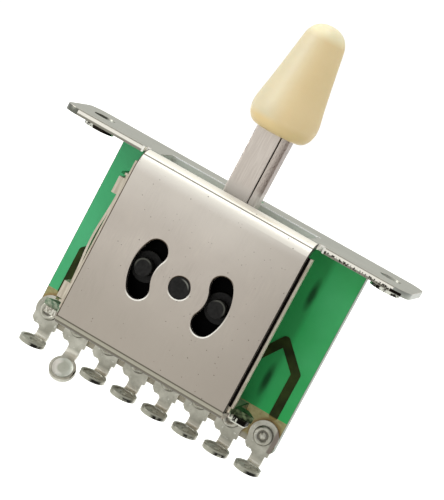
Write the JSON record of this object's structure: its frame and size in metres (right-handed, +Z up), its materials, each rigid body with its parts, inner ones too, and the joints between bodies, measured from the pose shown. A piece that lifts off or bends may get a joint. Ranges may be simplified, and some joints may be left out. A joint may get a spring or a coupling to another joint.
{
  "type": "guitar pickup selector switch",
  "caption": "Lever switch with a folded steel frame, a pivoting lever with a tapered tip and a circuit board with riveted solder lugs along its lower edge.",
  "frame": {"origin": "on the mounting plate's top face, midway between the two mounting holes", "axes": "+X along the mounting plate, +Y back towards the circuit board, +Z up along the lever, out of the instrument"},
  "size_m": [0.0488, 0.015, 0.0555],
  "materials": {
    "nickel_steel": "nickel plated, satin",
    "spring_steel": "rolled",
    "board_green": "solder mask over laminate",
    "copper": "under solder mask",
    "tinned_brass": "tinned, dull",
    "solder": "dull tin solder",
    "black_moulding": "matt",
    "cream_plastic": "moulded, semi gloss",
    "bronze": "rolled"
  },
  "bodies": {
    "base": {"frame": "nickel_steel", "spring_plate": "spring_steel", "detent_spring": "spring_steel", "circuit_board": "board_green", "contact_tracks": "copper", "board_traces": "copper", "solder_lug_1": "tinned_brass", "solder_lug_2": "tinned_brass", "solder_lug_3": "tinned_brass", "solder_lug_4": "tinned_brass", "solder_lug_5": "tinned_brass", "solder_lug_6": "tinned_brass", "solder_lug_7": "tinned_brass", "solder_lug_8": "tinned_brass", "lug_rivets": "tinned_brass", "solder_fill": "solder"},
    "lever": {"rotor": "black_moulding", "lever_blade": "nickel_steel", "lever_pin": "nickel_steel", "knob": "cream_plastic", "wiper_left": "bronze", "wiper_right": "bronze", "wiper_rivets": "bronze"}
  },
  "joints": [
    {"name": "lever_pivot", "type": "hinge", "parent": "base", "child": "lever", "pos_m": [0, 0, -0.0126], "axis": [0, 1, 0], "range_deg": [-28, 28]}
  ]
}
